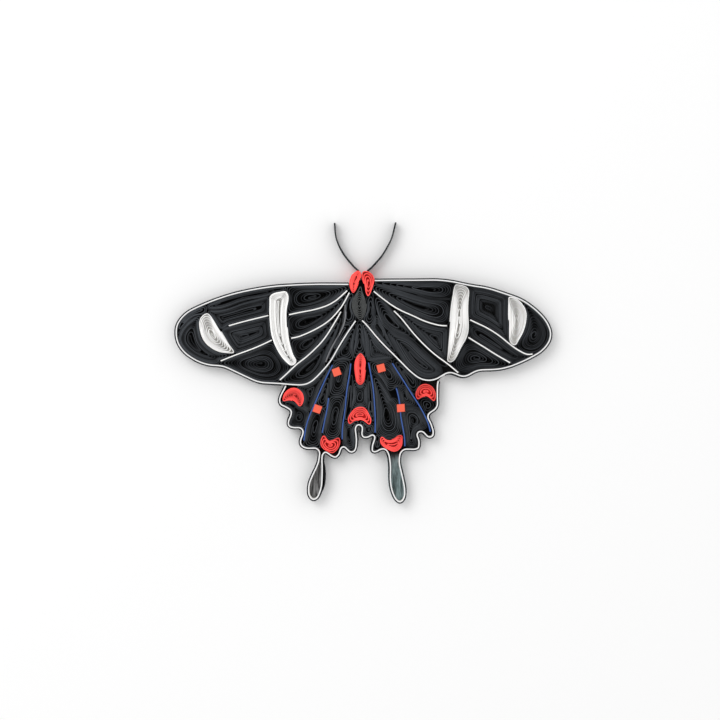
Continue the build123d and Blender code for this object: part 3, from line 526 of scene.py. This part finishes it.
class BUTTERFLY_OT_black_rolls(Operator):
    """Stand the black rolls of the wings and the abdomen"""

    bl_idname = "butterfly.black_rolls"
    bl_label = "Black Rolls"

    def execute(self, context):
        paper = context.scene.quilling_paper
        # On the black rolls the strong mottle is painted sheen in patches, and banding is painted light on
        # single turns.
        look = {"mottle_and_sheen": 1.0, "grain": 0.6, "shine": 0.35, "turn_sheen": 3.2}
        material = paper_material("black_roll_paper", paper.black_edge, paper.black_side_shaded, **look)
        for name in BLACK_ROLLS:
            stood_paper(name, material)
        return {"FINISHED"}


class BUTTERFLY_OT_white_rolls(Operator):
    """Stand the white bands and crescents of the forewings"""

    bl_idname = "butterfly.white_rolls"
    bl_label = "White Rolls"

    def execute(self, context):
        paper = context.scene.quilling_paper
        look = {"deep": 0.9, "mottle_and_sheen": 0.06, "grain": 0.08, "turn_sheen": 0.6}
        material = paper_material("white_roll_paper", paper.white_edge, paper.white_side_shaded, **look)
        for name in WHITE_ROLLS:
            stood_paper(name, material, swell=paper.white_swell)
            backing(name, Y, WHITE_BACKING_HEIGHT, material)
        return {"FINISHED"}


class BUTTERFLY_OT_red_rolls(Operator):
    """Stand the red rolls of the head, the body and the hindwings"""

    bl_idname = "butterfly.red_rolls"
    bl_label = "Red Rolls"

    def execute(self, context):
        paper = context.scene.quilling_paper
        look = {"deep": 0.8, "mottle_and_sheen": 0.3, "grain": 0.25, "turn_sheen": 0.7}
        material = paper_material("red_roll_paper", paper.red_edge, paper.red_side_shaded, **look)
        for name in RED_ROLLS:
            stood_paper(name, material, swell=paper.red_swell)
            backing(name, X, RED_BACKING_HEIGHT, material)
        return {"FINISHED"}


class BUTTERFLY_OT_thorax(Operator):
    """Stand the tight roll of the thorax"""

    bl_idname = "butterfly.thorax"
    bl_label = "Thorax"

    def execute(self, context):
        paper = context.scene.quilling_paper
        # The grey top over black sides is partly the paper's dark grey and partly painted sheen.
        material = paper_material("thorax_paper", paper.body_edge_and_sheen, paper.black_side_shaded, shine=0.5)
        stood_paper("thorax_roll", material)
        return {"FINISHED"}


class BUTTERFLY_OT_veins(Operator):
    """Stand the white and blue veins and the leaning grey strip"""

    bl_idname = "butterfly.veins"
    bl_label = "Veins"

    def execute(self, context):
        paper = context.scene.quilling_paper
        look = {"mottle_and_sheen": 0.05, "grain": 0.06}
        white = paper_material("white_vein_paper", paper.white_edge, paper.white_side_shaded, **look)
        blue = paper_material("blue_vein_paper", paper.blue_edge, paper.blue_side_shaded, mottle_and_sheen=0.3)
        grey = paper_material("leaning_paper", paper.grey_edge, paper.grey_side_shaded, deep=1.0, mottle_and_sheen=0.2)
        for name in WHITE_VEINS:
            stood_paper(name, white)
        for name in BLUE_VEINS:
            stood_paper(name, blue)
        stood_paper("leaning_strip", grey, grey_lean)
        return {"FINISHED"}


class BUTTERFLY_OT_borders(Operator):
    """Stand the white and black strips around the wings, the dark vein and the antennae"""

    bl_idname = "butterfly.borders"
    bl_label = "Borders and Antennae"

    def execute(self, context):
        paper = context.scene.quilling_paper
        look = {"mottle_and_sheen": 0.05, "grain": 0.06}
        white = paper_material("border_paper", paper.border_edge, paper.white_side_shaded, **look)
        black = paper_material("black_strip_paper", paper.black_edge, paper.black_side_shaded, shine=0.35)
        for name in WHITE_EDGES:
            stood_paper(name, white)
        for name in BLACK_STRIPS:
            stood_paper(name, black, tail_lean if name == "hindwing_black_edge" else None)
        return {"FINISHED"}


class BUTTERFLY_OT_squares(Operator):
    """Lay the four paper squares on the veins"""

    bl_idname = "butterfly.squares"
    bl_label = "Squares"

    def execute(self, context):
        piece = stood_paper("red_squares", square_material())
        rounding = piece.modifiers.new("rounding", "BEVEL")
        rounding.width = SQUARE_ROUNDING
        rounding.segments = ROUNDING_STEPS
        return {"FINISHED"}


class BUTTERFLY_OT_stage(Operator):
    """Set the floor, the lamp, the even light and the camera"""

    bl_idname = "butterfly.stage"
    bl_label = "Stage"

    def execute(self, context):
        scene = context.scene
        stage = scene.paper_stage
        mesh = bpy.data.meshes.new("floor")
        corners = [(-1, -1), (1, -1), (1, 1), (-1, 1)]
        places = [(x * FLOOR_HALF, y * FLOOR_HALF, FLOOR_LEVEL) for x, y in corners]
        mesh.from_pydata(places, [], [range(len(places))])
        floor = bpy.data.objects.new("floor", mesh)
        scene.collection.objects.link(floor)
        paint = Shader("floor_paint")
        mesh.materials.append(
            paint.set(Base_Color=tuple(stage.floor), Roughness=0.9, Specular_IOR_Level=0.1)
        )

        world = scene.world or bpy.data.worlds.new("studio")
        scene.world = world
        world.use_nodes = True
        sky = world.node_tree.nodes["Background"]
        sky.inputs["Color"].default_value = (1, 1, 1, 1)
        sky.inputs["Strength"].default_value = stage.sky

        lamp = bpy.data.lights.new("key", "AREA")
        lamp.shape = "DISK"
        lamp.size = stage.key_width
        lamp.energy = stage.key
        key = bpy.data.objects.new("key", lamp)
        key.location = stage.key_place
        key.rotation_euler = (-key.location).to_track_quat("-Z", "Y").to_euler()
        scene.collection.objects.link(key)

        eye = bpy.data.cameras.new("camera")
        eye.lens = stage.lens
        eye.clip_start = 0.01
        camera = bpy.data.objects.new("camera", eye)
        distance = stage.field * eye.lens / eye.sensor_width
        camera.location = (*CAMERA_OVER, STRIP_TOP + distance)
        scene.collection.objects.link(camera)
        scene.camera = camera
        scene.view_settings.view_transform = "Standard"
        return {"FINISHED"}


OPERATORS = (
    BUTTERFLY_OT_ground,
    BUTTERFLY_OT_black_rolls,
    BUTTERFLY_OT_white_rolls,
    BUTTERFLY_OT_red_rolls,
    BUTTERFLY_OT_thorax,
    BUTTERFLY_OT_veins,
    BUTTERFLY_OT_borders,
    BUTTERFLY_OT_squares,
    BUTTERFLY_OT_stage,
)


class BUTTERFLY_PT_making(Panel):
    """Lists the butterfly's steps, its papers and its stage"""

    bl_idname = "BUTTERFLY_PT_making"
    bl_label = "Quilled Butterfly"
    bl_space_type = "VIEW_3D"
    bl_region_type = "UI"
    bl_category = "Butterfly"

    def draw(self, context):
        for operator in OPERATORS:
            self.layout.operator(operator.bl_idname)
        for group in (context.scene.quilling_paper, context.scene.paper_stage):
            for key in group.bl_rna.properties.keys():
                if key not in ("rna_type", "name"):
                    self.layout.prop(group, key)


CLASSES = (QuillingPaper, PaperStage, *OPERATORS, BUTTERFLY_PT_making)


def register():
    for cls in CLASSES:
        bpy.utils.register_class(cls)
    bpy.types.Scene.quilling_paper = PointerProperty(type=QuillingPaper)
    bpy.types.Scene.paper_stage = PointerProperty(type=PaperStage)


def unregister():
    del bpy.types.Scene.paper_stage
    del bpy.types.Scene.quilling_paper
    for cls in reversed(CLASSES):
        bpy.utils.unregister_class(cls)


def main():
    register()
    for operator in OPERATORS:
        group, name = operator.bl_idname.split(".")
        getattr(getattr(bpy.ops, group), name)()


if __name__ == "__main__":
    main()
